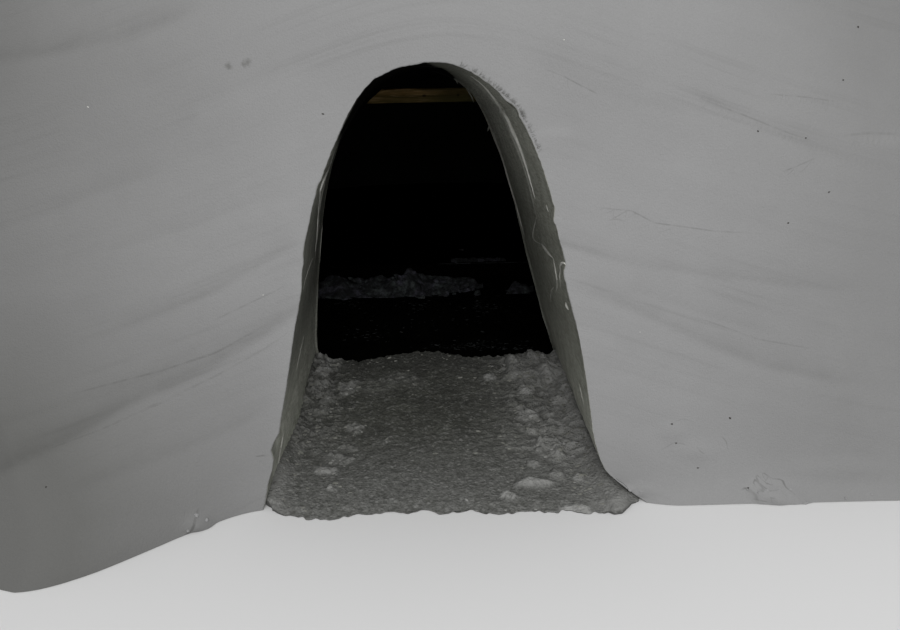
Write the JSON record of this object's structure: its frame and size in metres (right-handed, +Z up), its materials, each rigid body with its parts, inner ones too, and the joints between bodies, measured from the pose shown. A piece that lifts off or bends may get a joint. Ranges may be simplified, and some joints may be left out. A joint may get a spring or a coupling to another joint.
{
  "type": "packed snow igloo",
  "caption": "Domed igloo of packed snow with a shaved front face, an arched doorway through its thick wall, a low platform and a cross beam inside.",
  "frame": {"origin": "centre of the igloo's base on the ground", "axes": "+Z up, doorway towards -Y, +X to the right of someone who faces the doorway"},
  "size_m": [9.3, 9.3, 3.4],
  "materials": {
    "packed_snow": "smooth shaved packed snow, faintly layered",
    "trodden_snow": "trodden snow, rough and crumbly",
    "dark_floor": "dark trodden floor with snow crumbs",
    "loose_snow": "loose lumps of snow",
    "deck_timber": "dark weathered boards",
    "beam_timber": "sawn softwood, unpainted"
  },
  "bodies": {
    "root": {"door_jamb_right": "packed_snow", "lower_wall_right_1": "packed_snow", "lower_wall_right_2": "packed_snow", "lower_wall_right_3": "packed_snow", "lower_wall_right_4": "packed_snow", "lower_wall_back_right": "packed_snow", "lower_wall_back_left": "packed_snow", "lower_wall_left_4": "packed_snow", "lower_wall_left_3": "packed_snow", "lower_wall_left_2": "packed_snow", "lower_wall_left_1": "packed_snow", "door_jamb_left": "packed_snow", "door_arch_right": "packed_snow", "middle_wall_right_1": "packed_snow", "middle_wall_right_2": "packed_snow", "middle_wall_right_3": "packed_snow", "middle_wall_right_4": "packed_snow", "middle_wall_back_right": "packed_snow", "middle_wall_back_left": "packed_snow", "middle_wall_left_4": "packed_snow", "middle_wall_left_3": "packed_snow", "middle_wall_left_2": "packed_snow", "middle_wall_left_1": "packed_snow", "door_arch_left": "packed_snow", "upper_wall_front_right": "packed_snow", "upper_wall_right": "packed_snow", "upper_wall_back_right": "packed_snow", "upper_wall_back_left": "packed_snow", "upper_wall_left": "packed_snow", "upper_wall_front_left": "packed_snow", "crown": "packed_snow", "foot_bank_left": "packed_snow", "foot_bank_right": "packed_snow", "passage_floor": "trodden_snow", "room_floor": "dark_floor", "platform_snow_base": "trodden_snow", "platform_deck": "deck_timber", "platform_edge_board": "deck_timber", "cross_beam": "beam_timber", "passage_snow_left": "loose_snow", "passage_snow_right": "loose_snow", "room_snow_lumps": "loose_snow", "platform_snow_strip": "loose_snow"}
  },
  "joints": []
}
